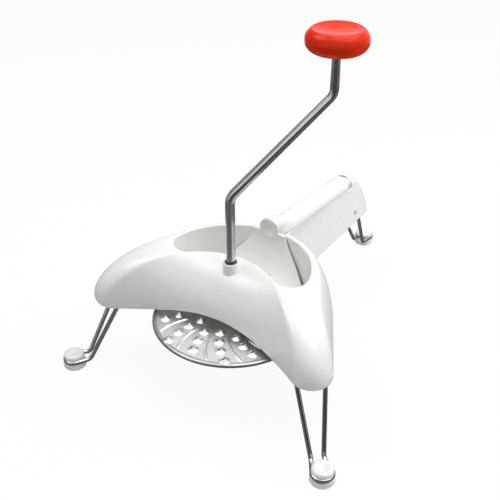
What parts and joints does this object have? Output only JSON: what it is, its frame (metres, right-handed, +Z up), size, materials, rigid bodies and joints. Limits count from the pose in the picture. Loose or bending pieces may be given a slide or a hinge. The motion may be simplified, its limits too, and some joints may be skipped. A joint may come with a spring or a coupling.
{
  "type": "rotary vegetable slicer",
  "caption": "Hand cranked rotary slicer on folding wire legs: half-moon hopper with hinged pusher, long handle, bent crank with a round knob and a toothed grating disc.",
  "frame": {"origin": "on the table, in the middle of the rectangle round the three feet", "axes": "+Z up, +Y towards the end of the handle, +X to the right seen from the front"},
  "size_m": [0.2838, 0.3668, 0.3234],
  "materials": {
    "white_plastic": "glossy moulded plastic",
    "bearing_plastic": "plain moulded plastic",
    "chrome_steel": "polished chrome plating on steel rod",
    "pin_steel": "plain turned steel",
    "stainless_sheet": "stamped bright stainless sheet",
    "dark_plastic": "dark thrust ring",
    "red_plastic": "glossy red moulded plastic"
  },
  "bodies": {
    "body": {"body_shell": "white_plastic", "hub_bush": "bearing_plastic"},
    "crank": {"crank_rod": "chrome_steel", "crank_collar": "dark_plastic", "drive_pin": "pin_steel", "disc_plate": "stainless_sheet", "disc_hub": "bearing_plastic", "disc_rivets": "pin_steel", "disc_clip": "pin_steel", "knob_retainer": "pin_steel"},
    "knob": {"knob_shell": "red_plastic", "knob_base": "red_plastic"},
    "pusher": {"pusher": "white_plastic", "hinge_pin": "pin_steel"},
    "left_leg": {"leg_left": "chrome_steel", "foot_cap_left": "white_plastic", "foot_pad_left": "white_plastic"},
    "right_leg": {"leg_right": "chrome_steel", "foot_cap_right": "white_plastic", "foot_pad_right": "white_plastic"},
    "rear_leg": {"leg_rear": "chrome_steel", "foot_cap_rear": "white_plastic", "foot_pad_rear": "white_plastic"}
  },
  "joints": [
    {"name": "crank_spin", "type": "hinge", "parent": "body", "child": "crank", "pos_m": [0, -0.10367, 0.1], "axis": [0, 0, 1], "continuous": true},
    {"name": "knob_spin", "type": "hinge", "parent": "crank", "child": "knob", "pos_m": [0.06553, -0.05779, 0.31], "axis": [0, 0, 1], "continuous": true},
    {"name": "pusher_hinge", "type": "hinge", "parent": "body", "child": "pusher", "pos_m": [0, 0.09966, 0.10849], "axis": [-1, 0, 0], "range_deg": [0, 85]},
    {"name": "left_leg_fold", "type": "hinge", "parent": "body", "child": "left_leg", "pos_m": [-0.09751, -0.13809, 0.078], "axis": [0.7169, -0.6972, 0], "range_deg": [0, 80]},
    {"name": "right_leg_fold", "type": "hinge", "parent": "body", "child": "right_leg", "pos_m": [0.09751, -0.13809, 0.078], "axis": [0.7169, 0.6972, 0], "range_deg": [0, 80]},
    {"name": "rear_leg_fold", "type": "hinge", "parent": "body", "child": "rear_leg", "pos_m": [0, 0.10433, 0.076], "axis": [-1, 0, 0], "range_deg": [0, 125]}
  ]
}
